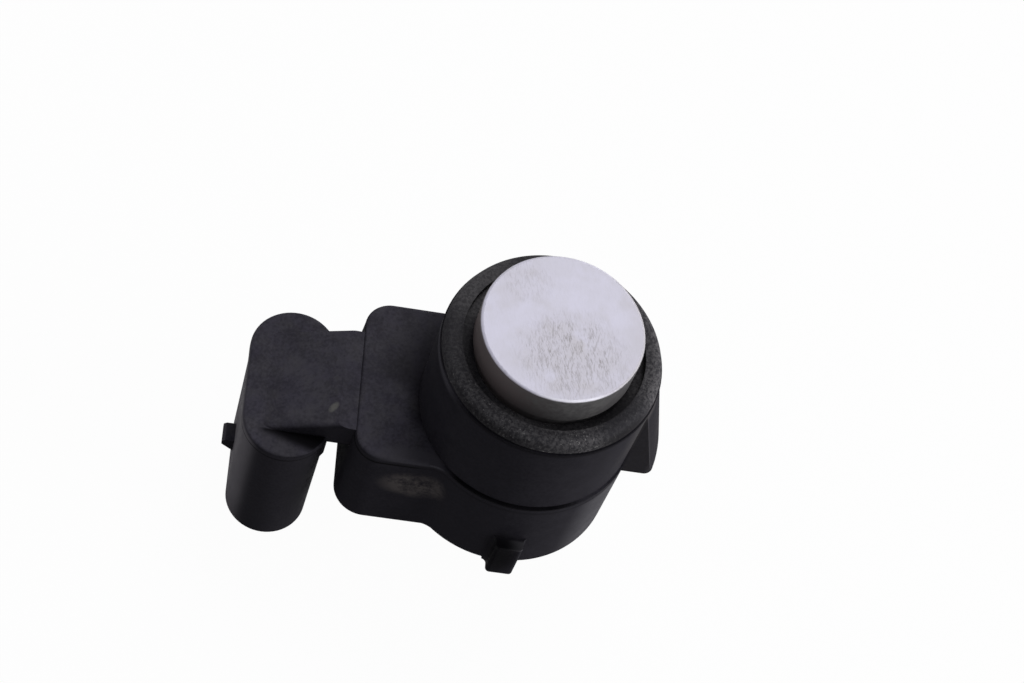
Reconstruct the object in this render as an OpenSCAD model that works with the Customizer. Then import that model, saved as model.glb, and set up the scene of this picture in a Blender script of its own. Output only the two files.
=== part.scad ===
// Ultrasonic parking sensor: a round barrel with the sensing face, a box of electronics beside it
// and an oval connector on a short neck.
// The barrel axis is Z with the sensing face up; the flat back lies on Z = 0 and the connector at -X.

/* [Sensing face] */
// Diameter of the membrane cup
cup_d = 15.5; // [12:0.1:17]
// Length of the membrane cup
cup_len = 9.5; // [8:0.1:11]
// Side wall of the membrane cup
cup_wall = 1.45; // [1:0.05:2]
// Thickness of the membrane itself
membrane_t = 0.9; // [0.6:0.05:1.2]
// Rounding of the cup's front edge
cup_round = 0.3; // [0.1:0.05:0.5]
// Height of the cup that stands out of the decoupling ring
cup_stand = 3.65; // [3.6:0.05:4]
// Length of the cup's front band, which goes through a bumper
band_len = 3.5; // [2:0.05:3.5]
// Step from the front band down to the part that the ring holds
band_step = 0.3; // [0.25:0.01:0.5]

/* [Decoupling ring] */
// Diameter of the ring's flange
ring_d = 20.9; // [20:0.1:21.2]
// Height of the ring's flange above the barrel's rim
flange_h = 1.35; // [1.35:0.05:2.5]
// Rounding of the flange's outer edge
flange_round = 1.1; // [0.2:0.05:1.1]
// Height of the gap between the flange's edge and the barrel's rim
flange_gap = 0.2; // [0.1:0.05:0.25]
// Depth of that gap
gap_depth = 0.6; // [0.2:0.05:0.7]
// Width of the groove between the ring and the cup
groove_w = 0.95; // [0.8:0.05:1.4]
// Depth of the groove at its outer wall
groove_depth = 0.8; // [0.4:0.05:1]
// Further drop of the groove's floor towards the cup
groove_fall = 0.4; // [0.2:0.05:0.6]

/* [Barrel] */
// Outer diameter of the barrel
barrel_d = 21.2; // [20.6:0.1:21.4]
// Wall of the barrel
barrel_wall = 1.2; // [0.8:0.05:1.4]
// Length of the barrel from the lid to its rim
barrel_len = 10.95; // [10.5:0.05:13]
// Depth of the seat for the decoupling ring below the rim
ring_seat = 8.2; // [7.5:0.05:9]
// Radial width of the shoulder under the decoupling ring
shoulder_w = 2; // [1:0.1:2.4]
// Height of the relief groove at the barrel's foot
relief_h = 0.3; // [0.2:0.05:0.8]
// Depth of the relief groove
relief_depth = 0.25; // [0.1:0.05:0.4]

/* [Case] */
// Diameter of the case below the barrel
case_d = 21.62; // [21.4:0.02:23]
// Height of the case from its back to the seam
case_h = 10.95; // [10.5:0.05:12]
// Distance from the barrel axis to the box's end
box_end = 16.3; // [15.5:0.05:17]
// Distance from the barrel axis to the box's lower side
box_low = 7.5; // [7:0.05:8.5]
// Distance from the barrel axis to the box's upper side
box_high = 9.6; // [8.5:0.05:10]
// Corner radius of the box
box_corner = 2.6; // [1.6:0.1:3]
// Draft: how much wider each side of the box is at the back
box_draft = 0.5; // [0:0.05:0.6]
// Bevel of the outer edges at the back
back_edge = 0.5; // [0.2:0.05:0.9]
// Side wall of the case
case_wall = 1.2; // [0.9:0.05:1.4]
// Floor of the case
case_floor = 1.2; // [0.9:0.05:1.6]
// Fillet between the box and the round part
case_fillet = 3; // [1:0.1:3.5]

/* [Lid] */
// Thickness of the lid over the box
lid_t = 0.85; // [0.7:0.05:1.2]
// Rounding of the lid's front edge
lid_edge = 0.4; // [0.1:0.05:0.5]
// Depth of the skirt that centres the lid in the case
skirt_h = 1; // [0.6:0.05:1.2]
// Wall of the skirt
skirt_t = 0.8; // [0.6:0.05:1]
// Clearance between the skirt and the case
skirt_fit = 0.05; // [0.02:0.01:0.15]

/* [Neck] */
// Distance from the barrel axis to the neck's lower side
neck_low = 4.72; // [4.5:0.02:5]
// Distance from the barrel axis to the neck's upper side
neck_high = 6.1; // [5.2:0.05:6.4]
// Depth of the valley between the lid's front and the neck
neck_step = 0.3; // [0.1:0.05:0.4]
// Distance from the box's end to the neck's crest
crest_x = 1.7; // [1:0.1:3]
// Drop from the lid's front to the neck's crest
crest_drop = 0.05; // [0:0.05:0.3]
// Rounding of the neck's front edges
neck_round = 0.5; // [0.2:0.05:0.8]
// Height of the gusset's outer side under the neck
gusset_h = 2.3; // [1:0.1:3]
// Length of the gusset along the shroud
gusset_len = 6; // [4:0.1:8]
// Side clearance of the neck in the case's notch
neck_fit = 0.04; // [0.02:0.01:0.1]

/* [Connector] */
// Distance from the barrel axis to the connector's middle
socket_x = 22.75; // [22.5:0.05:24]
// Sideways offset of the connector's middle
socket_y = 0.57; // [0:0.01:0.6]
// Width of the connector's collar
collar_w = 8.5; // [8.2:0.05:9]
// Length of the connector's collar
collar_len = 16.05; // [15:0.05:17]
// Thickness of the collar
collar_t = 0.9; // [0.8:0.05:1.2]
// Drop from the lid's front to the collar's front
collar_drop = 2.45; // [2.2:0.05:2.6]
// Rounding of the collar's front edge
collar_edge = 0.3; // [0.1:0.05:0.5]
// Overhang of the collar over the shroud
collar_lip = 0.15; // [0.1:0.01:0.4]
// Length of the shroud behind the collar
shroud_len = 16.2; // [14:0.1:18]
// Taper of the shroud towards its mouth, on each side
shroud_taper = 0.08; // [0:0.01:0.2]
// Wall of the shroud
shroud_wall = 1.05; // [0.9:0.05:1.2]
// Floor of the socket behind the collar
socket_floor = 2; // [1.5:0.1:3]
// Distance from the shroud's mouth to the latch nose's catch
nose_back = 5.55; // [4:0.05:6.5]
// Length of the latch nose along the shroud
nose_len = 2.5; // [2:0.1:3.5]
// Width of the latch nose
nose_w = 2; // [1.5:0.1:4]
// Height of the latch nose
nose_h = 1.25; // [0.6:0.05:1.8]
// Bevel of the latch nose's outer corners
nose_edge = 0.3; // [0.1:0.05:0.4]

/* [Snap wing and key lug] */
// Width of the snap wing
wing_w = 9.4; // [6:0.1:10]
// How far the snap wing stands out at its foot
wing_out = 2.84; // [1.5:0.02:3.2]
// Distance from the barrel's rim to the start of the wing
wing_start = 0.8; // [0.4:0.1:3]
// Rounding of the wing's corners
wing_corner = 1; // [0.5:0.1:1.5]
// Width of the key lug
lug_w = 2.7; // [2:0.1:4]
// Sideways offset of the key lug
lug_x = 0.25; // [-0.5:0.05:0.5]
// How far the key lug stands out of the case
lug_out = 1.2; // [0.8:0.05:1.8]
// Length of the key lug along the case
lug_len = 5.5; // [3:0.1:8]
// Rounding of the lug's outer edges
lug_round = 0.4; // [0.2:0.05:0.8]
// Fillet at the lug's root
lug_fillet = 0.5; // [0.2:0.05:0.8]

/* [Transducer] */
// Diameter of the piezo disc
piezo_d = 8; // [6:0.1:10]
// Thickness of the piezo disc
piezo_t = 0.4; // [0.2:0.05:0.8]
// Thickness of the damping pad
pad_t = 2.4; // [1.5:0.1:3]
// Diameter of the lead wires
lead_d = 0.5; // [0.3:0.05:0.6]
// Distance of the signal lead from the barrel axis
lead_x = 1.6; // [1:0.1:2.5]
// Length of the ground lead that lies on the cup's wall
lead_bond = 2.5; // [1.5:0.1:4]
// Clearance of a lead in its hole
lead_fit = 0.02; // [0.01:0.01:0.05]
// Clearance of the soft fillings in the cup
fill_fit = 0.02; // [0.01:0.01:0.05]

/* [Board] */
// Thickness of the circuit board
board_t = 1; // [0.8:0.1:1.6]
// Height of the posts that carry the board
post_h = 2.4; // [1.8:0.1:3]
// Diameter of the board posts
post_d = 2.2; // [1.8:0.1:2.6]
// Diameter of the pegs on the posts
peg_d = 1.1; // [0.8:0.05:1.3]
// Clearance of the pegs in the board
peg_fit = 0.05; // [0.02:0.01:0.1]
// Gap between the board and the case
board_gap = 0.2; // [0.1:0.05:0.4]
// Length of the leads and terminals behind the board
tail = 0.8; // [0.4:0.1:1.4]

/* [Terminals] */
// Side of a square connector pin
pin_w = 0.64; // [0.5:0.02:0.8]
// Distance between neighbouring pins
pin_pitch = 3; // [2.5:0.1:3.5]
// Distance from the shroud's mouth to the pin tips
pin_recess = 6; // [5:0.1:7]
// Length of the pin's taper
pin_point = 0.8; // [0.4:0.1:1.2]
// Thickness of the terminal strip in the neck
strip_t = 0.4; // [0.3:0.05:0.5]
// Cover of the neck behind the strip
strip_cover = 0.4; // [0.3:0.05:0.6]
// Distance from the box's end to the terminal's leg
leg_in = 2.5; // [2:0.1:3]
// Clearance of the terminals in the board
terminal_fit = 0.02; // [0.01:0.01:0.05]

/* [Board parts] */
// Side of the control chip
chip_w = 5.6; // [4:0.1:6]
// Height of the control chip
chip_h = 1.1; // [0.8:0.1:1.5]
// Diameter of the transformer's core
core_d = 6.2; // [5:0.1:6.4]
// Height of the transformer
core_h = 4.2; // [3:0.1:5]
// Thickness of the core's flanges
core_flange = 0.8; // [0.5:0.1:1]
// Diameter of the core's middle
core_post = 2.6; // [2:0.1:3]
// Diameter of the transformer's winding
coil_d = 5.4; // [4.5:0.1:6]
// Diameter of the can capacitor
can_d = 4; // [3:0.1:5]
// Height of the can capacitor
can_h = 5.2; // [4:0.1:5.6]
// Length of the block capacitor
block_len = 4.8; // [3.5:0.1:5.5]
// Width of the block capacitor
block_w = 3.3; // [2.5:0.1:3.6]
// Height of the block capacitor
block_h = 2.2; // [1.5:0.1:3]
// Length of the chip capacitor
chip_cap_len = 2; // [1.6:0.1:3.2]
// Length of the diode
diode_len = 2.7; // [2:0.1:3]
// Length of a chip resistor
resistor_len = 1.6; // [1:0.1:2]
// Distance between neighbouring chip resistors
resistor_pitch = 1.4; // [1.2:0.1:1.6]

/* [Board places] */
// Distance of the rear board posts from the terminals
post_in = 1.2; // [0.8:0.1:2]
// Sideways distance of the upper rear post
post_high = 5.2; // [4.8:0.1:6]
// Sideways distance of the lower rear post
post_low = 4.9; // [4.6:0.1:5.4]
// Distance of the front post from the barrel axis
post_x = 7.4; // [6.8:0.1:7.8]
// Sideways distance of the front post
post_y = 3.4; // [2.5:0.1:4]
// Distance of the control chip from the barrel axis
chip_x = 8.4; // [7.5:0.1:9]
// Sideways distance of the control chip
chip_y = 2.7; // [2.2:0.1:3.2]
// Distance of the transformer from the barrel axis
core_x = 7.6; // [7:0.1:8.5]
// Sideways distance of the transformer
core_y = 4.3; // [4:0.1:4.6]
// Distance of the can capacitor from the barrel axis
can_x = 1; // [0:0.1:2]
// Sideways distance of the can capacitor
can_y = 5.6; // [5:0.1:6.5]
// Distance of the block capacitor from the barrel axis
block_x = 1; // [0:0.1:2]
// Sideways distance of the block capacitor
block_y = 6.2; // [5.5:0.1:6.6]
// Distance of the chip capacitor from the barrel axis
chip_cap_x = 2; // [1:0.1:2.5]
// Sideways distance of the chip capacitor
chip_cap_y = 2.6; // [2:0.1:3.2]
// Distance of the diode from the barrel axis
diode_x = 2.6; // [2:0.1:3.5]
// Sideways distance of the diode
diode_y = 2.4; // [2:0.1:3]
// Distance of the chip resistors from the barrel axis
resistor_x = 3.4; // [2.5:0.1:4.5]

/* [Hidden] */
$fn = 96;
eps = 0.01;

barrel_r = barrel_d / 2;
case_r = case_d / 2;
cup_r = cup_d / 2;
cup_bore = cup_r - cup_wall;
hold_r = cup_r - band_step;
bore_r = barrel_r - barrel_wall;
ring_r = ring_d / 2;

lid_front = case_h + lid_t;
rim = lid_front + barrel_len;
ring_front = rim + flange_h;
face = ring_front + cup_stand;
cup_back = face - cup_len;
seat = rim - ring_seat;
piezo_front = face - membrane_t;
pad_front = piezo_front - piezo_t;
fill_front = pad_front - pad_t;

collar_front = lid_front - collar_drop;
collar_back = collar_front - collar_t;
mouth = collar_back - shroud_len;
socket_top = collar_back - socket_floor;
shroud_w = collar_w - 2 * collar_lip;
straight = collar_len - collar_w;
socket_r = shroud_w / 2 - shroud_taper - shroud_wall;

board_back = case_floor + post_h;
board_front = board_back + board_t;
lead_end = board_back - tail;
ground_x = cup_bore - lead_d / 2 - lead_fit;
strip_back = collar_back + strip_cover;
leg_x = -box_end + leg_in;
posts = [[leg_x + post_in, post_high], [leg_x + post_in, -post_low], [post_x, -post_y]];

// Plan of the case, drawn inside its outer wall by the given inset
module case_plan(inset) {
    corner = max(box_corner - inset, 0.2);
    circle(r = case_r - inset);
    translate([-box_end + inset + corner, -box_low + inset])
        square([box_end - inset - corner, box_low + box_high - 2 * inset]);
    translate([-box_end + inset, -box_low + inset + corner])
        square([box_end - inset, box_low + box_high - 2 * (inset + corner)]);
    for (y = [-box_low + inset + corner, box_high - inset - corner])
        translate([-box_end + inset + corner, y]) circle(r = corner);
}

// Full section from the edge points of one half, given as radius and height from the back upwards
function full_section(edge) = concat(edge, [for (i = [len(edge) - 1:-1:0]) [-edge[i][0], edge[i][1]]]);

// Section closed on the axis, for turning
function turned_section(edge) = concat([[0, edge[0][1]]], edge, [[0, edge[len(edge) - 1][1]]]);

// Edge points of a quarter round of the given radius under the given corner, from its side to its front
function round_edge(radius, reach, height) =
    [for (i = [0:5]) [reach - radius + radius * cos(18 * i), height - radius + radius * sin(18 * i)]];

// Oval bar along Y with the given edge
module oval_bar(length, edge) {
    for (y = [-length / 2, length / 2])
        translate([0, y, 0]) rotate_extrude() polygon(turned_section(edge));
    translate([0, length / 2, 0]) rotate([90, 0, 0]) linear_extrude(length)
        polygon(full_section(edge));
}

// Block in the box's plan from its end to the barrel axis, its edge measured from the corner centres
module box_bar(edge) {
    low = -box_low + box_corner;
    high = box_high - box_corner;
    turn = -box_end + box_corner;
    for (y = [low, high]) translate([turn, y, 0]) rotate_extrude() polygon(turned_section(edge));
    translate([turn, high, 0]) rotate([90, 0, 0]) linear_extrude(high - low)
        mirror([1, 0]) polygon(turned_section(edge));
    translate([turn, 0, 0]) rotate([90, 0, 90]) linear_extrude(-turn)
        polygon(concat(
            [for (p = edge) [high + p[0], p[1]]],
            [for (i = [len(edge) - 1:-1:0]) [low - edge[i][0], edge[i][1]]]
        ));
}

// Side view of a connector terminal: pin, strip through the neck and leg through the board
module terminal_side(grow) {
    tip = mouth + pin_recess;
    top = strip_back + strip_t;
    half = pin_w / 2;
    translate([-socket_x, 0]) polygon([
        [-half - grow, top + grow], [-half - grow, tip + pin_point],
        [-half / 3, tip], [half / 3, tip],
        [half + grow, tip + pin_point], [half + grow, strip_back - grow],
        [socket_x + leg_x, strip_back - grow], [socket_x + leg_x, top + grow]
    ]);
    translate([leg_x - strip_t - grow, lead_end]) square([strip_t + 2 * grow, top + grow - lead_end]);
}

// A terminal, or the space for it when grown, at the given place in the row
module terminal(place, grow = 0) {
    translate([0, socket_y + place * pin_pitch + pin_w / 2 + grow, 0])
        rotate([90, 0, 0]) linear_extrude(pin_w + 2 * grow) terminal_side(grow);
}

// Snap wing: a slice of a cone that widens from the barrel's rim to the lid's underside
module wing() {
    reach = barrel_r + wing_out;
    half = wing_w / 2;
    corner_y = half - wing_corner;
    corner_x = sqrt(pow(reach - wing_corner, 2) - pow(corner_y, 2));
    intersection() {
        translate([0, 0, case_h])
            cylinder(h = rim - wing_start - case_h, r1 = reach, r2 = barrel_r);
        translate([0, 0, case_h]) linear_extrude(rim - case_h) {
            translate([0, -half]) square([corner_x, wing_w]);
            translate([0, -corner_y]) square([reach, 2 * corner_y]);
            for (y = [-corner_y, corner_y]) translate([corner_x, y]) circle(r = wing_corner);
        }
    }
}

// Neck: a strap from the case's notch over a low crest down to the collar, with rounded front edges
module neck() {
    far = socket_x + collar_w / 4;
    crest = [box_end + crest_x, lid_front - crest_drop];
    slope = atan((crest[1] - collar_front) / (far - crest[0]));
    depth = 2 * (lid_front - collar_back);
    wide = neck_low + neck_high;
    intersection() {
        translate([0, neck_high, 0]) rotate([90, 0, 0]) linear_extrude(wide) polygon([
            [-box_end + case_wall, collar_back], [-box_end + case_wall, case_h + eps],
            [-box_end + lid_edge, lid_front - neck_step], [-crest[0], crest[1]],
            [-far, collar_front], [-far, collar_back]
        ]);
        translate([-crest[0], 0, crest[1]]) rotate([0, -slope, 0]) translate([-far, 0, 0])
            rotate([90, 0, 90]) linear_extrude(2 * far) {
                translate([-neck_low, -depth]) square([wide, depth - neck_round]);
                translate([-neck_low + neck_round, -depth]) square([wide - 2 * neck_round, depth]);
                for (y = [-neck_low + neck_round, neck_high - neck_round])
                    translate([y, -neck_round]) circle(r = neck_round);
            }
    }
}

// Gusset that stiffens the corner between the neck and the shroud
module gusset() {
    tip = -socket_x + shroud_w / 2 + eps;
    root = tip - shroud_wall;
    translate([0, neck_high, 0]) rotate([90, 0, 0]) linear_extrude(neck_low + neck_high) polygon([
        [root, collar_back + eps], [tip, collar_back + eps],
        [tip, collar_back - gusset_h], [root, collar_back - gusset_len]
    ]);
}

// Latch nose on the shroud's outer side, with its catch towards the collar
module latch_nose() {
    root = -socket_x - shroud_w / 2 + shroud_taper;
    catch = mouth + nose_back;
    translate([0, socket_y + nose_w / 2, 0]) rotate([90, 0, 0]) linear_extrude(nose_w)
        polygon([
            [root + shroud_wall / 2, catch], [root - nose_h + nose_edge, catch],
            [root - nose_h, catch - nose_edge], [root - nose_h, catch - nose_len / 3],
            [root - nose_h + nose_edge, catch - nose_len / 3 - nose_edge],
            [root + shroud_wall / 2, catch - nose_len]
        ]);
}

// Connector collar and shroud, solid
module connector() {
    half = collar_w / 2;
    translate([-socket_x, socket_y, 0]) {
        translate([0, 0, collar_back])
            oval_bar(straight, concat([[half, 0]], round_edge(collar_edge, half, collar_t)));
        translate([0, 0, mouth])
            oval_bar(straight, [[shroud_w / 2 - shroud_taper, 0], [shroud_w / 2, shroud_len]]);
    }
}

module housing() {
    color("#2c2b32") difference() {
        union() {
            translate([0, 0, lid_front]) cylinder(h = barrel_len, r = barrel_r);
            translate([0, 0, case_h]) cylinder(h = lid_t, r = case_r);
            translate([0, 0, case_h])
                box_bar(concat([[box_corner, 0]], round_edge(lid_edge, box_corner, lid_t)));
            corner_fills(case_h, lid_front, 0);
            translate([0, 0, case_h - skirt_h]) linear_extrude(skirt_h) difference() {
                case_plan(case_wall + skirt_fit);
                case_plan(case_wall + skirt_fit + skirt_t);
            }
            wing();
            neck();
            gusset();
            connector();
            latch_nose();
        }
        translate([0, 0, seat]) cylinder(h = ring_seat + eps, r = bore_r);
        translate([0, 0, case_h - eps]) cylinder(h = seat - case_h + 2 * eps, r = bore_r - shoulder_w);
        translate([0, 0, lid_front]) difference() {
            cylinder(h = relief_h, r = case_r);
            cylinder(h = relief_h, r = barrel_r - relief_depth);
            translate([0, -wing_w / 2, 0]) cube([case_d, wing_w, relief_h]);
        }
        translate([-socket_x, socket_y, mouth])
            oval_bar(straight, [[socket_r, -eps], [socket_r, socket_top - mouth]]);
        for (place = [-1:1]) terminal(place);
    }
}

module rear_case() {
    color("#242329") difference() {
        union() {
            rotate_extrude() polygon(turned_section([
                [case_r - back_edge, 0], [case_r, back_edge], [case_r, case_h]
            ]));
            box_bar([
                [box_corner + box_draft - back_edge, 0], [box_corner + box_draft, back_edge],
                [box_corner, case_h]
            ]);
            key_lug();
            corner_fills(back_edge, case_h, box_draft);
        }
        translate([0, 0, case_floor]) linear_extrude(case_h) case_plan(case_wall);
        translate([-box_end - box_draft - eps, -neck_low - neck_fit, collar_back - neck_fit])
            cube([case_wall + box_draft + 2 * eps, neck_low + neck_high + 2 * neck_fit, case_h]);
    }
    color("#242329") for (at = posts) translate([at[0], at[1], case_floor]) {
        cylinder(h = post_h, d = post_d);
        cylinder(h = post_h + board_t, d = peg_d);
    }
}

// Key lug on the case with fillets at its root
module key_lug() {
    reach = case_r + lug_out;
    touch = case_r / (case_r + lug_fillet);
    inner = -case_r + case_wall / 2;
    linear_extrude(lug_len) {
        translate([lug_x - lug_w / 2, -reach + lug_round])
            square([lug_w, lug_out + case_wall / 2 - lug_round]);
        translate([lug_x - lug_w / 2 + lug_round, -reach]) square([lug_w - 2 * lug_round, lug_out]);
        for (side = [-1, 1]) {
            edge = lug_x + side * lug_w / 2;
            across = edge + side * lug_fillet;
            turn = [across, -sqrt(pow(case_r + lug_fillet, 2) - pow(across, 2))];
            translate([edge - side * lug_round, -reach + lug_round]) circle(r = lug_round);
            difference() {
                polygon([[edge, inner], [edge, turn[1]], turn * touch, [turn[0] * touch, inner]]);
                translate(turn) circle(r = lug_fillet + eps);
            }
        }
    }
}

// Fills with a hollow face in the corners between the box's sides and the round case.
// They lean with the sides, which stand out by the given draft at the back.
module corner_fills(back, front, draft) {
    bite = 0.03;
    sink = 0.1;
    reach = case_r + case_fillet;
    for (side = [[-1, box_low], [1, box_high]]) {
        level = side[1] + case_fillet;
        high = [-sqrt(pow(reach, 2) - pow(level, 2)), side[0] * level];
        low = [-sqrt(pow(reach, 2) - pow(level + draft, 2)), side[0] * (level + draft)];
        lean = high - low;
        root = low * (case_r - sink) / reach;
        inner = side[0] * (side[1] - case_wall / 2);
        difference() {
            translate([0, 0, back]) linear_extrude(front - back) polygon([
                [high[0], inner], [high[0], side[0] * side[1]], [low[0], side[0] * (side[1] + draft)],
                root, [root[0], inner]
            ]);
            translate([low[0], low[1], 0]) rotate([0, atan(norm(lean) / case_h), atan2(lean[1], lean[0])])
                translate([0, 0, -case_h]) cylinder(h = 3 * case_h, r = case_fillet + bite);
        }
    }
}

module membrane_cup() {
    band = cup_len - band_len;
    color("#c5c1cb") translate([0, 0, cup_back]) rotate_extrude() difference() {
        union() {
            square([hold_r, cup_len - cup_round]);
            translate([0, band]) square([cup_r, band_len - cup_round]);
            square([cup_r - cup_round, cup_len]);
            translate([cup_r - cup_round, cup_len - cup_round]) circle(r = cup_round);
        }
        translate([0, -eps]) square([cup_bore, cup_len - membrane_t + eps]);
    }
}

module decoupling_ring() {
    top = ring_front;
    color("#37363a") rotate_extrude() difference() {
        union() {
            translate([0, seat]) square([bore_r, ring_seat]);
            translate([0, rim]) square([ring_r - gap_depth, flange_gap]);
            translate([0, rim + flange_gap]) square([ring_r, flange_h - flange_gap - flange_round]);
            translate([0, rim + flange_gap]) square([ring_r - flange_round, flange_h - flange_gap]);
            translate([ring_r - flange_round, top - flange_round]) intersection() {
                circle(r = flange_round);
                square(flange_round);
            }
        }
        polygon([
            [0, top + eps], [cup_r + groove_w, top + eps], [cup_r + groove_w, top - groove_depth],
            [hold_r, top - groove_depth - groove_fall], [hold_r, cup_back], [cup_bore, cup_back],
            [cup_bore, seat - eps], [0, seat - eps]
        ]);
    }
}

module piezo_disc() {
    color("#d8c9a0") translate([0, 0, pad_front]) cylinder(h = piezo_t, d = piezo_d);
}

// Passage for a lead wire along the barrel axis
module lead_hole(x) {
    translate([x, 0, 0]) cylinder(h = face, d = lead_d + 2 * lead_fit);
}

module damping_pad() {
    color("#8d8f92") difference() {
        translate([0, 0, fill_front]) cylinder(h = pad_t, r = cup_bore - fill_fit);
        lead_hole(-lead_x);
    }
}

module cup_fill() {
    color("#b9bdb6") difference() {
        translate([0, 0, cup_back]) cylinder(h = fill_front - cup_back, r = cup_bore - fill_fit);
        lead_hole(-lead_x);
        lead_hole(ground_x);
    }
}

module lead_signal() {
    color("#b5482f") translate([-lead_x, 0, lead_end]) cylinder(h = pad_front - lead_end, d = lead_d);
}

module lead_ground() {
    color("#3d5a80") translate([ground_x, 0, lead_end])
        cylinder(h = cup_back + lead_bond - lead_end, d = lead_d);
}

module circuit_board() {
    color("#1f5a3c") difference() {
        translate([0, 0, board_back]) linear_extrude(board_t) case_plan(case_wall + board_gap);
        for (at = posts) translate([at[0], at[1], board_back - eps])
            cylinder(h = board_t + 2 * eps, d = peg_d + 2 * peg_fit);
        lead_hole(-lead_x);
        lead_hole(ground_x);
        for (place = [-1:1]) terminal(place, terminal_fit);
    }
}

// Rectangular part that stands on the board
module block(at, size) {
    translate([at[0] - size[0] / 2, at[1] - size[1] / 2, board_front]) cube(size);
}

module control_chip() {
    color("#1b1b1d") block([-chip_x, -chip_y], [chip_w, chip_w, chip_h]);
}

// Place of the transformer on the board
module at_transformer() {
    translate([-core_x, core_y, board_front]) children();
}

module transformer_core() {
    color("#4a4744") at_transformer() {
        cylinder(h = core_flange, d = core_d);
        cylinder(h = core_h, d = core_post);
        translate([0, 0, core_h - core_flange]) cylinder(h = core_flange, d = core_d);
    }
}

module transformer_coil() {
    color("#b4713a") at_transformer() translate([0, 0, core_flange]) difference() {
        cylinder(h = core_h - 2 * core_flange, d = coil_d);
        translate([0, 0, -eps]) cylinder(h = core_h, d = core_post);
    }
}

module supply_capacitor() {
    color("#a9abae") translate([can_x, can_y, board_front]) cylinder(h = can_h, d = can_d);
}

module tuning_capacitor() {
    color("#8c3b2e") block([block_x, -block_y], [block_len, block_w, block_h]);
}

module bus_capacitor() {
    color("#a58a66")
        block([-chip_cap_x, chip_cap_y], [chip_cap_len, chip_cap_len * 0.6, chip_cap_len * 0.5]);
}

module diode() {
    color("#202022") block([-diode_x, -diode_y], [diode_len * 0.6, diode_len, diode_len * 0.4]);
}

module chip_resistors() {
    color("#17171a") for (i = [0:3])
        block([resistor_x, (i - 1.5) * resistor_pitch], [resistor_len, resistor_len / 2, resistor_len / 3]);
}

module terminal_supply() {
    color("#c7b98b") terminal(-1);
}

module terminal_signal() {
    color("#c7b98b") terminal(0);
}

module terminal_ground() {
    color("#c7b98b") terminal(1);
}

housing();
rear_case();
membrane_cup();
decoupling_ring();
piezo_disc();
damping_pad();
cup_fill();
lead_signal();
lead_ground();
circuit_board();
control_chip();
transformer_core();
transformer_coil();
supply_capacitor();
tuning_capacitor();
bus_capacitor();
diode();
chip_resistors();
terminal_supply();
terminal_signal();
terminal_ground();
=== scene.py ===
from math import cos, radians, sin

import bpy
from mathutils import Matrix, Vector


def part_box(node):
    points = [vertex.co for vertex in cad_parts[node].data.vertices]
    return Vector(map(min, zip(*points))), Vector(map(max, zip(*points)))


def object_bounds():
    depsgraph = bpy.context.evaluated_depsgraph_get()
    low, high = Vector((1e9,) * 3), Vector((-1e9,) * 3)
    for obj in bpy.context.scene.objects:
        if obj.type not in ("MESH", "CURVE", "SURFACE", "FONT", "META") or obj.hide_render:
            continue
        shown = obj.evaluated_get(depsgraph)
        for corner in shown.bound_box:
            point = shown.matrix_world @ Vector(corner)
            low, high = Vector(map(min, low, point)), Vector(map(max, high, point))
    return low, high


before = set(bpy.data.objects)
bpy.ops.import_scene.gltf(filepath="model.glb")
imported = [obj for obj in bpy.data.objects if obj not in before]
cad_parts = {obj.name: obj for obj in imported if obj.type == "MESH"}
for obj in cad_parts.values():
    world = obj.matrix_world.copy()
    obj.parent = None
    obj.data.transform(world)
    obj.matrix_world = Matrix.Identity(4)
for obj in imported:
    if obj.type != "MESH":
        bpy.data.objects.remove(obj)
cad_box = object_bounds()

# The view.
# A long lens a quarter of a metre away looks down on the sensing face from the key lug's side, with the
# connector to the left, as the photograph does.
LENS_MM = 85.187
SENSOR_MM = 36.0
NEAREST = 0.01
CAMERA_AT = Vector((-0.038862, -0.114301, 0.212706))
CAMERA_RIGHT = Vector((0.97697, 0.046289, 0.208297))
CAMERA_BACK = Vector((-0.155895, -0.511702, 0.844901))

lens = bpy.data.cameras.new("view")
lens.lens = LENS_MM
lens.sensor_width = SENSOR_MM
lens.clip_start = NEAREST
camera = bpy.data.objects.new("view", lens)
bpy.context.scene.collection.objects.link(camera)
right = CAMERA_RIGHT.normalized()
back = (CAMERA_BACK - right * CAMERA_BACK.dot(right)).normalized()
turn = Matrix((right, back.cross(right), back)).transposed()
camera.matrix_world = Matrix.Translation(CAMERA_AT) @ turn.to_4x4()
bpy.context.scene.camera = camera
bpy.context.scene.view_settings.view_transform = "Standard"


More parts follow.
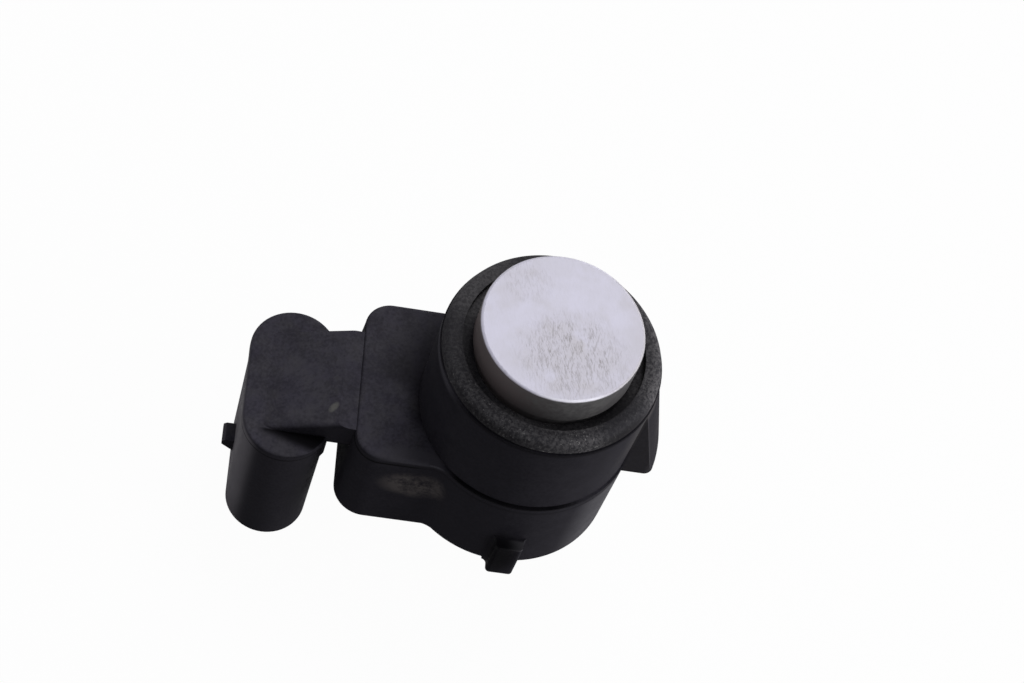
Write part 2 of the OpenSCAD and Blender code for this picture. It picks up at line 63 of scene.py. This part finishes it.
# The studio.
# A soft lamp hangs over the sensor, leaning to its right and behind it, and a second one stands low at its
# right. The floor is pale, and it and the surroundings are white where the camera or a mirror sees them.
class Shade:
    """A node socket. Sums, products and powers of shades add Math nodes to the same node tree."""

    def __init__(self, tree, socket=None):
        self.tree = tree
        self.socket = socket

    def node(self, kind, settings=None, inputs=None, out=0):
        """A new node: its settings are set first, then its sockets take values or links."""
        made = self.tree.nodes.new(kind)
        for name, value in (settings or {}).items():
            setattr(made, name, value)
        for key, value in (inputs or {}).items():
            if isinstance(value, Shade):
                self.tree.links.new(value.socket, made.inputs[key])
            else:
                made.inputs[key].default_value = value
        return Shade(self.tree, made.outputs[out] if made.outputs else None)

    def math(self, operation, first, second):
        """A Math node on two shades, or on a shade and a number."""
        return self.node("ShaderNodeMath", {"operation": operation}, {0: first, 1: second})

    def __add__(self, other):
        return self.math("ADD", self, other)

    def __sub__(self, other):
        return self.math("SUBTRACT", self, other)

    def __rsub__(self, other):
        return self.math("SUBTRACT", other, self)

    def __mul__(self, other):
        return self.math("MULTIPLY", self, other)

    def __truediv__(self, other):
        return self.math("DIVIDE", self, other)

    def __rtruediv__(self, other):
        return self.math("DIVIDE", other, self)

    def __pow__(self, other):
        return self.math("POWER", self, other)

    def __rpow__(self, other):
        return self.math("POWER", other, self)

    __radd__ = __add__
    __rmul__ = __mul__

    def fade(self, start, end):
        """0 where this is at start, 1 where it is at end, and a soft step between."""
        settings = {"interpolation_type": "SMOOTHSTEP"}
        return self.node("ShaderNodeMapRange", settings, {"Value": self, "From Min": start, "From Max": end})

    def within(self, start, full, last, end):
        """1 where this lies from full to last, and soft steps down to 0 at start and at end."""
        return self.fade(start, full) * self.fade(end, last)

    def over(self, colour, under):
        """The colour where this mask is 1, and the colour under it where it is 0."""
        top, base = [c if isinstance(c, Shade) else (*c, 1.0) for c in (colour, under)]
        return self.node("ShaderNodeMix", {"data_type": "RGBA"}, {0: self, 6: base, 7: top}, 2)


def white_to_camera(tool, closure, share):
    """The closure as light strikes it, and a share of plain white as the camera or a mirror sees it."""
    rays = ("Is Camera Ray", "Is Glossy Ray", "Is Transmission Ray")
    seen = sum(tool.node("ShaderNodeLightPath", None, None, ray) for ray in rays)
    kind = "ShaderNodeBackground" if closure.socket.node.type == "BACKGROUND" else "ShaderNodeEmission"
    white = tool.node(kind, None, {"Color": WHITE, "Strength": 1.0})
    return tool.node("ShaderNodeMixShader", None, {0: seen * share, 1: closure, 2: white})


def empty_tree(owner):
    """The owner's node tree with nothing in it, as a tool that adds nodes."""
    owner.use_nodes = True
    owner.node_tree.nodes.clear()
    return Shade(owner.node_tree)


WHITE = (1.0, 1.0, 1.0, 1.0)
AMBIENT = (0.28, 0.28, 0.30, 1.0)
PALE = (0.6, 0.6, 0.6, 1.0)
FLOOR_WHITE = 0.97
FLOOR_DROP = 0.0002
FLOOR_HALF = 3.0
LAMP_DISTANCE = 0.5

world = bpy.data.worlds.new("surroundings")
bpy.context.scene.world = world
tool = empty_tree(world)
dim = tool.node("ShaderNodeBackground", None, {"Color": AMBIENT, "Strength": 1.0})
tool.node("ShaderNodeOutputWorld", None, {"Surface": white_to_camera(tool, dim, 1.0)})

level = cad_box[0].z - FLOOR_DROP
floor_mesh = bpy.data.meshes.new("floor")
corners = [(x * FLOOR_HALF, y * FLOOR_HALF, level) for x, y in ((-1, -1), (1, -1), (1, 1), (-1, 1))]
floor_mesh.from_pydata(corners, [], [(0, 1, 2, 3)])
floor = bpy.data.objects.new("floor", floor_mesh)
bpy.context.scene.collection.objects.link(floor)
pale = bpy.data.materials.new("pale floor")
tool = empty_tree(pale)
matt = tool.node("ShaderNodeBsdfDiffuse", None, {"Color": PALE})
tool.node("ShaderNodeOutputMaterial", None, {"Surface": white_to_camera(tool, matt, FLOOR_WHITE)})
floor_mesh.materials.append(pale)


def lamp(name, direction, size, watts):
    """A square soft lamp that shines on the sensor from the given direction."""
    light = bpy.data.lights.new(name, "AREA")
    light.size = size
    light.energy = watts
    made = bpy.data.objects.new(name, light)
    bpy.context.scene.collection.objects.link(made)
    made.location = Vector(direction).normalized() * LAMP_DISTANCE
    made.rotation_euler = made.location.to_track_quat("Z", "Y").to_euler()


lamp("top lamp", (0.20, 0.50, 0.85), size=0.26, watts=1.40)
lamp("right lamp", (0.97, -0.20, 0.16), size=0.25, watts=3.6)


# Membrane cup: a deep-drawn aluminium cup whose closed end is the sensing face, sprayed in satin silver.
# The paint ends on the rounded edge, which has a painted highlight where it hangs lowest and painted shade
# on its right, and fine scuffs streak the face around and below its middle. The side is dark grey under
# road film, with painted shade darkening it towards its foot.
MM = 1000.0
FACE_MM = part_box("membrane_cup")[1].z * MM
CUP_R_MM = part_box("membrane_cup")[1].x * MM
PAINT_END_MM = 0.17
PAINT_RAGGED_MM = 0.06
PAINT = (0.615, 0.600, 0.685)
PAINT_COOL = (0.655, 0.640, 0.750)
PAINT_WARM = (0.512, 0.486, 0.502)
PAINT_WORN_AND_SHADE = (0.270, 0.252, 0.252)
PAINT_HIGHLIGHT = (0.90, 0.89, 0.96)
CUP_SIDE = (0.040, 0.038, 0.040)
CUP_FILM = (0.075, 0.074, 0.073)
CUP_BROWN = (0.092, 0.074, 0.074)
CUP_FOOT_SHADE = (0.010, 0.0095, 0.010)
STREAK_LENGTHS = (1.0, 5.5, 1.0)
STREAK_LEANS = (-0.05, 0.36)
STREAK_SEEDS = (2.0, 8.0)

# The middle and the reach, in millimetres, of each worn or dirty place on the cup, and of the painted
# highlight on its low edge.
RUBBED = ((1.0, -2.9), (6.2, 5.6))
RUBBED_LEFT = ((-3.6, 4.4), (3.0, 2.8))
LOW_EDGE_HIGHLIGHT = ((1.2, -7.7), (4.5, 2.5))
FILMED = ((0.6,), (5.5,))


def finish(name):
    """A new material, its tool, and the surface's own place in millimetres."""
    material = bpy.data.materials.new(name)
    tool = empty_tree(material)
    metres = tool.node("ShaderNodeTexCoord", None, None, "Object")
    place = tool.node("ShaderNodeVectorMath", {"operation": "SCALE"}, {0: metres, "Scale": MM})
    return material, tool, place


def parts(vector):
    """The three parts of a vector."""
    return [vector.node("ShaderNodeSeparateXYZ", None, {0: vector}, axis) for axis in range(3)]


def from_axis(x, y):
    """The distance from the barrel's axis."""
    return (x * x + y * y) ** 0.5


def noise(place, lump, seed, detail=3.0, roughness=0.6):
    """Cloudy noise from 0 to 1, whose lumps are about the given number of millimetres across."""
    inputs = {"Vector": place, "W": seed, "Scale": 1.0 / lump, "Detail": detail, "Roughness": roughness}
    return place.node("ShaderNodeTexNoise", {"noise_dimensions": "4D"}, inputs)


def patch(along, middle, reach):
    """1 in the middle, and a soft fall to 0 at the given reach along each part of the place."""
    terms = [((part - m) / r) ** 2.0 for part, m, r in zip(along, middle, reach)]
    return sum(terms).fade(1.0, 0.0)


def bump(height, strength, depth):
    """The normal of a surface whose fine relief follows a height, with its depth in millimetres."""
    inputs = {"Strength": strength, "Distance": depth / MM, "Height": height}
    return height.node("ShaderNodeBump", None, inputs)


def wear(material, tool, nodes, **sockets):
    """Closes a material with one principled surface and puts it on nodes of the frame."""
    inputs = {name.replace("_", " "): value for name, value in sockets.items()}
    surface = tool.node("ShaderNodeBsdfPrincipled", None, inputs)
    tool.node("ShaderNodeOutputMaterial", None, {"Surface": surface})
    for node in nodes:
        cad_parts[node].material_slots[0].material = material


material, tool, place = finish("painted cup")
x, y, z = parts(place)
ragged = z + noise(place, 0.9, 1.0) * PAINT_RAGGED_MM
painted = ragged.fade(FACE_MM - PAINT_END_MM, FACE_MM - 0.02)
scuff = 0.0
for lean, seed in zip(STREAK_LEANS, STREAK_SEEDS):
    turned = {"Vector": place, "Rotation": (0.0, 0.0, lean), "Scale": STREAK_LENGTHS}
    streaked = tool.node("ShaderNodeMapping", {"vector_type": "TEXTURE"}, turned)
    scuff = scuff + noise(streaked, 0.15, seed, 4.0, 0.7).fade(0.50, 0.61) * 0.7
rubbed = patch((x, y), *RUBBED) * noise(place, 1.7, 3.0).fade(0.22, 0.56)
rubbed = rubbed + patch((x, y), *RUBBED_LEFT) * 0.35
face = noise(place, 2.4, 4.0).fade(0.3, 0.7).over(PAINT_COOL, PAINT)
warm = rubbed * 0.45 + noise(place, 2.0, 7.0).fade(0.45, 0.7) * 0.25 + x.fade(4.5, 7.5) * 0.3
face = warm.over(PAINT_WARM, face)
face = (scuff * (0.05 + rubbed * 0.55)).over(PAINT_WORN_AND_SHADE, face)
rounding = from_axis(x, y).fade(CUP_R_MM - 0.35, CUP_R_MM - 0.15)
# Painted shade: the rounded edge is painted darker towards the right.
face = (rounding * x.fade(3.0, 6.0) * 0.6).over(PAINT_WORN_AND_SHADE, face)
# Painted highlight: the rounded edge is painted near-white where it hangs lowest.
face = (rounding * patch((x, y), *LOW_EDGE_HIGHLIGHT) * 0.8).over(PAINT_HIGHLIGHT, face)
film = noise(place, 0.55, 5.0).fade(0.3, 0.75) * (0.35 + patch((x,), *FILMED) * 0.65)
side = film.over(CUP_FILM, x.fade(1.5, -5.5).over(CUP_BROWN, CUP_SIDE))
# Painted shade: the side darkens towards its foot, where it sinks into the ring's groove.
side = (z.fade(FACE_MM - 1.4, FACE_MM - 3.4) * 0.25).over(CUP_FOOT_SHADE, side)
wear(
    material, tool, ["membrane_cup"], Base_Color=painted.over(face, side),
    Roughness=0.45 + scuff * rubbed * 0.2, Specular_IOR_Level=0.15,
    Normal=bump(noise(place, 0.3, 6.0) - scuff * rubbed * 0.5, strength=0.15, depth=0.02),
)


# Piezo disc, pad, filling and leads: the fired ceramic disc is glued to the inside of the membrane, and a
# foam pad damps it. Two drawn copper wires lead off, and clear silicone sealant fills up the cup.
def stock(name, nodes, colour, second, lump, rough, metal=0.0, relief=0.2):
    """A plain stock finish: two tones of one material in lumps of the given size, over a faint relief."""
    material, tool, place = finish(name)
    lumps = noise(place, lump, 1.0).fade(0.3, 0.7)
    wear(
        material, tool, nodes, Base_Color=lumps.over(second, colour), Roughness=rough + lumps * 0.15,
        Metallic=metal, Normal=bump(noise(place, lump * 0.3, 2.0), strength=relief, depth=0.02),
    )


stock("fired ceramic", ["piezo_disc"], (0.69, 0.58, 0.35), (0.60, 0.49, 0.29), lump=0.8, rough=0.55)
stock(
    "grey foam", ["damping_pad"], (0.27, 0.27, 0.28), (0.17, 0.17, 0.18),
    lump=0.4, rough=0.80, relief=0.6,
)
stock("clear sealant", ["cup_fill"], (0.48, 0.51, 0.47), (0.42, 0.45, 0.41), lump=2.0, rough=0.35)
stock(
    "drawn copper", ["lead_signal", "lead_ground"], (0.62, 0.26, 0.10), (0.46, 0.17, 0.06),
    lump=0.5, rough=0.3, metal=1.0,
)


# Decoupling ring: soft grey-black silicone cast around the cup, which it holds in the barrel. It is matt
# with a faint grain. Road dust clings to it and pale grit lies on the side that hangs lowest. Painted shade
# darkens the groove on the right and the flange's outer edge at the bottom.
RING_R_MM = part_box("decoupling_ring")[1].x * MM
GROOVE_R_MM = 8.7
RING = (0.020, 0.0195, 0.0225)
RING_DUST = (0.078, 0.075, 0.078)
RING_PAINTED_SHADE = (0.0050, 0.0045, 0.0050)
GRIT = (0.23, 0.225, 0.22)

# The middle and the reach of the places where the ring is cleanest, dustiest and lowest.
WIPED = ((7.4, -6.8), (4.4, 4.4))
DUSTIEST = ((-7.6, 6.2), (5.0, 5.5))
LOWEST = ((1.5, -10.3), (5.5, 4.0))

material, tool, place = finish("dusty silicone")
x, y, _ = parts(place)
radius = from_axis(x, y)
groove = radius.fade(GROOVE_R_MM + 0.3, GROOVE_R_MM - 0.1)
low_side = y.fade(1.0, -9.5)
right_side = x.fade(3.0, 10.0)
film = noise(place, 0.33, 1.0, 3.0, 0.75).fade(0.40, 0.61)
wiped = 1.0 - patch((x, y), *WIPED) * 0.8
dust = 0.12 + film * (0.30 + low_side * 0.46 + right_side * 0.55) + groove * low_side * 0.3
dust = dust * wiped + patch((x, y), *DUSTIEST) * (0.35 + film * 0.35)
colour = dust.over(RING_DUST, RING)
grit = noise(place, 0.19, 2.0, 2.0).fade(0.58, 0.68) * noise(place, 1.3, 3.0).fade(0.36, 0.56)
colour = (grit * low_side * wiped * 0.65).over(GRIT, colour)
# Painted shade: the flange's outer edge darkens towards the bottom, less at its lowest, and the groove
# darkens on the right.
ring_shade = radius.fade(RING_R_MM - 0.6, RING_R_MM - 0.05) * y.fade(-4.0, -7.5)
ring_shade = ring_shade * (0.6 - patch((x, y), *LOWEST) * 0.35) + groove * x.fade(3.0, 7.0) * 0.45
colour = ring_shade.over(RING_PAINTED_SHADE, colour)
wear(
    material, tool, ["decoupling_ring"], Base_Color=colour, Roughness=0.75 + film * 0.15,
    Specular_IOR_Level=0.03, Normal=bump(noise(place, 0.2, 4.0), strength=0.6, depth=0.05),
)


# Terminals: three pins stamped from brass strip and tinned. They are moulded into the housing's neck, stand
# in the socket for the plug, and end in legs that are soldered through the board.
stock(
    "tinned brass", ["terminal_supply", "terminal_signal", "terminal_ground"],
    (0.60, 0.53, 0.36), (0.50, 0.42, 0.25), lump=0.6, rough=0.28, metal=1.0,
)


# Housing: barrel, lid, snap wing, neck and connector in one moulding of matt black glass-filled nylon, with
# a small pale nick in the neck. Faces that look up are painted lighter, partly bleaching and partly painted
# light, and dust settles on them. Painted highlights lie on the barrel's rim and the lid's lower edge, and a
# painted sheen on the barrel's right side and the connector's left; the wing's low face is painted lighter
# as painted light. Painted shade lies at the barrel's foot, along its rim, under the collar's lip, on the
# collar below the neck, on the wing's outer facet and on the tube's right side, a painted shadow lies on the
# lid beside the barrel, and dirt sits in the weld seam.
BARREL_R_MM = 10.6
RIM_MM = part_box("housing")[1].z * MM
SEAM_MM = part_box("rear_case")[1].z * MM
LID_MM = SEAM_MM + 0.85
COLLAR_BACK_MM = LID_MM - 3.35
COLLAR_LEFT_MM = -27.0
COLLAR_RIGHT_MM = -18.5
NECK_LOW_MM = -4.72
BOX_END_MM = -16.3
BOX_LOW_MM = -7.5
WING_LOW_MM = -4.7
LID_EDGE_X = (-15.0, -12.0, -8.2, -7.2)
FOOT_X = (-8.5, -6.0, 3.0, 7.5)
WING_X = (6.0, 9.0)
NECK_SHADOW_SLOPE = 0.32
NECK_SHADOW_LINE = (-13.5, -12.3)
NICK_X = -18.58
NICK_Y = -2.6
NICK_LEAN = radians(56.3)
NICK_REACH = (0.8, 0.43)
BLACK = (0.0118, 0.0110, 0.0142)
BLACK_PALE = (0.0200, 0.0190, 0.0230)
BLEACHED_AND_LIT = (0.050, 0.0470, 0.0610)
BLEACHED_GREY_AND_LIT = (0.057, 0.0545, 0.0640)
SHEEN = (0.125, 0.118, 0.128)
DUST_AND_SHEEN = (0.085, 0.080, 0.078)
# A colour for painted shade and shadow, and for dirt in the weld seam.
SHADE_AND_DIRT = (0.0030, 0.0028, 0.0034)
NICK = (0.125, 0.122, 0.112)
NYLON_SHINE = 0.008


def black_nylon(place):
    """The cloudy tone, the colour and the grain's relief of matt black nylon."""
    tone = (noise(place, 2.6, 1.0) * 0.5 + noise(place, 0.3, 2.0, 2.0) * 0.5).fade(0.36, 0.64)
    relief = bump(noise(place, 0.16, 3.0, 2.0), strength=0.35, depth=0.02)
    return tone, tone.over(BLACK_PALE, BLACK), relief


material, tool, place = finish("housing nylon")
x, y, z = parts(place)
radius = from_axis(x, y)
tone, colour, relief = black_nylon(place)
facing_x, _, facing_z = parts(tool.node("ShaderNodeTexCoord", None, None, "Normal"))
# Painted sheen: the connector's left side is painted pale where it turns away to the left.
left_sheen = facing_x.fade(-0.45, -0.95) * x.fade(COLLAR_LEFT_MM + 2.5, COLLAR_LEFT_MM + 1.0)
up = facing_z.fade(0.35, 0.95)

# Faces that look up are painted lighter: partly bleaching, partly painted light.
bleach_and_light = noise(place, 2.2, 4.0).fade(0.35, 0.65).over(BLEACHED_GREY_AND_LIT, BLEACHED_AND_LIT)
colour = (up * (0.5 + tone * 0.5)).over(bleach_and_light, (left_sheen * 0.9).over(SHEEN, colour))
wing = radius.fade(BARREL_R_MM + 0.1, BARREL_R_MM + 0.35) * x.fade(*WING_X)
wing_end = y.fade(WING_LOW_MM + 0.4, WING_LOW_MM + 0.05)
# A painted sheen down the barrel's right side, and the wing's low face painted lighter as painted light.
barrel_sheen = radius.fade(BARREL_R_MM + 0.3, BARREL_R_MM + 0.05) * x.fade(7.5, 9.5) * z.fade(13.0, 18.0)
colour = (barrel_sheen * 0.3 + wing * wing_end * 0.12).over(DUST_AND_SHEEN, colour)
# A painted highlight on the barrel's rim at its upper left.
rim_highlight = z.fade(RIM_MM - 1.15, RIM_MM - 0.35) * y.fade(-7.0, -4.0) * x.fade(2.0, -4.0)
colour = (rim_highlight * 0.85).over(BLEACHED_GREY_AND_LIT, colour)
# A painted highlight along the lid's lower edge.
lid_edge_highlight = z.within(LID_MM - 0.5, LID_MM - 0.2, LID_MM + 0.05, LID_MM + 0.15) * x.within(*LID_EDGE_X)
lid_edge_highlight = lid_edge_highlight * y.fade(BOX_LOW_MM + 2.0, BOX_LOW_MM + 1.0)
colour = (lid_edge_highlight * 0.8).over(BLEACHED_GREY_AND_LIT, colour)
settled = up * noise(place, 1.3, 5.0, 4.0, 0.7).fade(0.5, 0.8)
colour = (settled * 0.25).over(DUST_AND_SHEEN, colour)

# Painted shade in the crease at the barrel's foot.
foot_shade = radius.fade(BARREL_R_MM + 0.9, BARREL_R_MM + 0.25) * x.within(*FOOT_X)
foot_shade = foot_shade * z.within(LID_MM - 0.35, LID_MM - 0.05, LID_MM + 0.25, LID_MM + 0.5)
# A painted shadow: the lid darkens towards the barrel, widely on its upper side and narrowly below.
barrel_shadow = y.fade(-1.0, 2.0) * radius.fade(BARREL_R_MM + 7.4, BARREL_R_MM - 0.6) * 0.68
barrel_shadow = barrel_shadow + y.within(-5.0, -2.5, -1.0, 2.0) * radius.fade(BARREL_R_MM + 2.3, BARREL_R_MM - 0.1) * 0.55
barrel_shadow = barrel_shadow * x.fade(-7.0, -9.0) * z.fade(LID_MM - 0.3, LID_MM - 0.1) * up
# Painted shade along the rim under the ring, on the low side but not at the lower right.
rim_shade = z.fade(RIM_MM - 0.65, RIM_MM - 0.15) * y.fade(1.0, -4.0)
rim_shade = rim_shade * (1.0 - y.fade(-8.0, -4.5) * x.fade(6.0, 0.0))
# A painted shadow of the neck on the collar's front, widening towards the right.
collar_x = (COLLAR_LEFT_MM + 0.8, COLLAR_LEFT_MM + 2.5, COLLAR_RIGHT_MM, COLLAR_RIGHT_MM + 1.0)
neck_shadow = x.within(*collar_x) * y.fade(NECK_LOW_MM + 0.22, NECK_LOW_MM - 0.08) * up
neck_shadow = neck_shadow * (0.3 + (y + x * NECK_SHADOW_SLOPE).fade(*NECK_SHADOW_LINE) * 0.6)
# A painted shadow under the collar's lip.
lip_shadow = z.within(COLLAR_BACK_MM - 0.5, COLLAR_BACK_MM - 0.2, COLLAR_BACK_MM + 0.05, COLLAR_BACK_MM + 0.25)
lip_shadow = lip_shadow * x.fade(COLLAR_RIGHT_MM + 1.5, COLLAR_RIGHT_MM + 0.5)
seam = z.fade(LID_MM - 0.55, LID_MM - 0.7) * x.fade(BOX_END_MM - 0.3, BOX_END_MM + 0.05)
# Painted shade on the connector tube's right side below the neck, and on the wing's outer facet.
under_neck = x.fade(COLLAR_RIGHT_MM - 4.0, COLLAR_RIGHT_MM - 1.0) * z.fade(7.5, 5.5)
shaded = wing * (1.0 - wing_end) * 0.3 + under_neck * 0.35
# Painted shade and shadow darken the housing, and dirt darkens the weld seam.
shade_and_seam = foot_shade * 0.8 + barrel_shadow + rim_shade * 0.6 + lip_shadow * 0.7 + seam * 0.4 + neck_shadow + shaded
colour = shade_and_seam.fade(0.0, 1.0).over(SHADE_AND_DIRT, colour)

along = (x - NICK_X) * cos(NICK_LEAN) + (y - NICK_Y) * sin(NICK_LEAN)
across = (x - NICK_X) * sin(NICK_LEAN) - (y - NICK_Y) * cos(NICK_LEAN)
nick = patch((along, across), (0.0, 0.0), NICK_REACH) * noise(place, 0.4, 6.0).fade(0.2, 0.5) * up
wear(
    material, tool, ["housing"], Base_Color=(nick * 0.78).over(NICK, colour), Roughness=0.55 + tone * 0.2,
    Specular_IOR_Level=NYLON_SHINE, Normal=relief,
)


# Circuit board: a plate of green glass laminate, routed to the outline of the case. It sits on three posts
# of the case by their pegs, and the terminals and leads are soldered through it.
stock(
    "green laminate", ["circuit_board"], (0.014, 0.10, 0.045), (0.010, 0.075, 0.033),
    lump=1.5, rough=0.35,
)


# Board parts: moulded chip, diode and resistors, pressed ferrite core with its enamelled winding, drawn can,
# dipped film block and sintered chip capacitor, all soldered to the board's front.
stock(
    "moulded chip", ["control_chip", "diode", "chip_resistors"],
    (0.012, 0.012, 0.013), (0.018, 0.018, 0.019), lump=0.3, rough=0.6,
)
stock(
    "pressed ferrite", ["transformer_core"], (0.070, 0.065, 0.060), (0.052, 0.048, 0.045),
    lump=0.4, rough=0.6,
)
stock(
    "enamelled wire", ["transformer_coil"], (0.50, 0.18, 0.05), (0.38, 0.13, 0.035),
    lump=0.3, rough=0.3, metal=0.8,
)
stock(
    "drawn can", ["supply_capacitor"], (0.52, 0.53, 0.54), (0.42, 0.43, 0.44),
    lump=1.2, rough=0.3, metal=1.0,
)
stock("dipped film", ["tuning_capacitor"], (0.26, 0.045, 0.028), (0.21, 0.036, 0.022), lump=0.9, rough=0.3)
stock("sintered chip", ["bus_capacitor"], (0.38, 0.26, 0.13), (0.32, 0.21, 0.10), lump=0.5, rough=0.45)


# Rear case: the closed back of the same black nylon, with the key lug, welded to the housing along the seam.
# Its lower wall has a brownish smear beside the box's corner, its right side has a painted sheen, the lug's
# top is painted paler as painted light, dirt sits in the seam, and painted shade lies around the lug.
LUG_TOP_MM = 5.5
SMEAR = (0.074, 0.066, 0.064)
CASE_PALE = (0.088, 0.086, 0.093)

# The middle and the reach of the smear, the painted sheen and the painted shade around the lug.
SMEARED = ((-9.7, -7.7, 7.6), (4.2, 1.4, 2.6))
CASE_SHEEN = ((9.2, -5.6), (5.5, 6.0))
LUG_SHADE = ((-0.7, -11.8, 3.6), (2.9, 1.8, 5.2))

material, tool, place = finish("case nylon")
x, y, z = parts(place)
tone, colour, relief = black_nylon(place)
smear = patch((x, y, z), *SMEARED) * noise(place, 0.9, 4.0, 4.0, 0.7).fade(0.3, 0.62)
colour = smear.over(SMEAR, colour)
# A painted sheen runs down the case's right side.
clouds = noise(place, 2.4, 5.0, 4.0, 0.6).fade(0.2, 0.7)
colour = (patch((x, y), *CASE_SHEEN) * (0.30 + clouds * 0.25)).over(CASE_PALE, colour)
# Painted light: the lug's top, which lies in shade, is painted paler.
lug_top_light = z.within(LUG_TOP_MM - 0.4, LUG_TOP_MM - 0.1, LUG_TOP_MM + 0.1, LUG_TOP_MM + 0.4)
lug_top_light = lug_top_light * y.fade(-10.9, -11.2) * x.fade(-0.4, 0.8)
colour = (lug_top_light * 0.5).over(CASE_PALE, colour)
weld = z.fade(SEAM_MM - 0.3, SEAM_MM - 0.1) * (x.fade(-9.0, -11.0) * 0.7 + x.fade(8.0, 3.0) * 0.3)
# Painted shade around the lug, and dirt in the weld seam.
shade_and_seam = patch((x, y, z), *LUG_SHADE) * 0.85 + weld
colour = shade_and_seam.fade(0.0, 1.0).over(SHADE_AND_DIRT, colour)
wear(
    material, tool, ["rear_case"], Base_Color=colour, Roughness=0.55 + tone * 0.2,
    Specular_IOR_Level=NYLON_SHINE, Normal=relief,
)
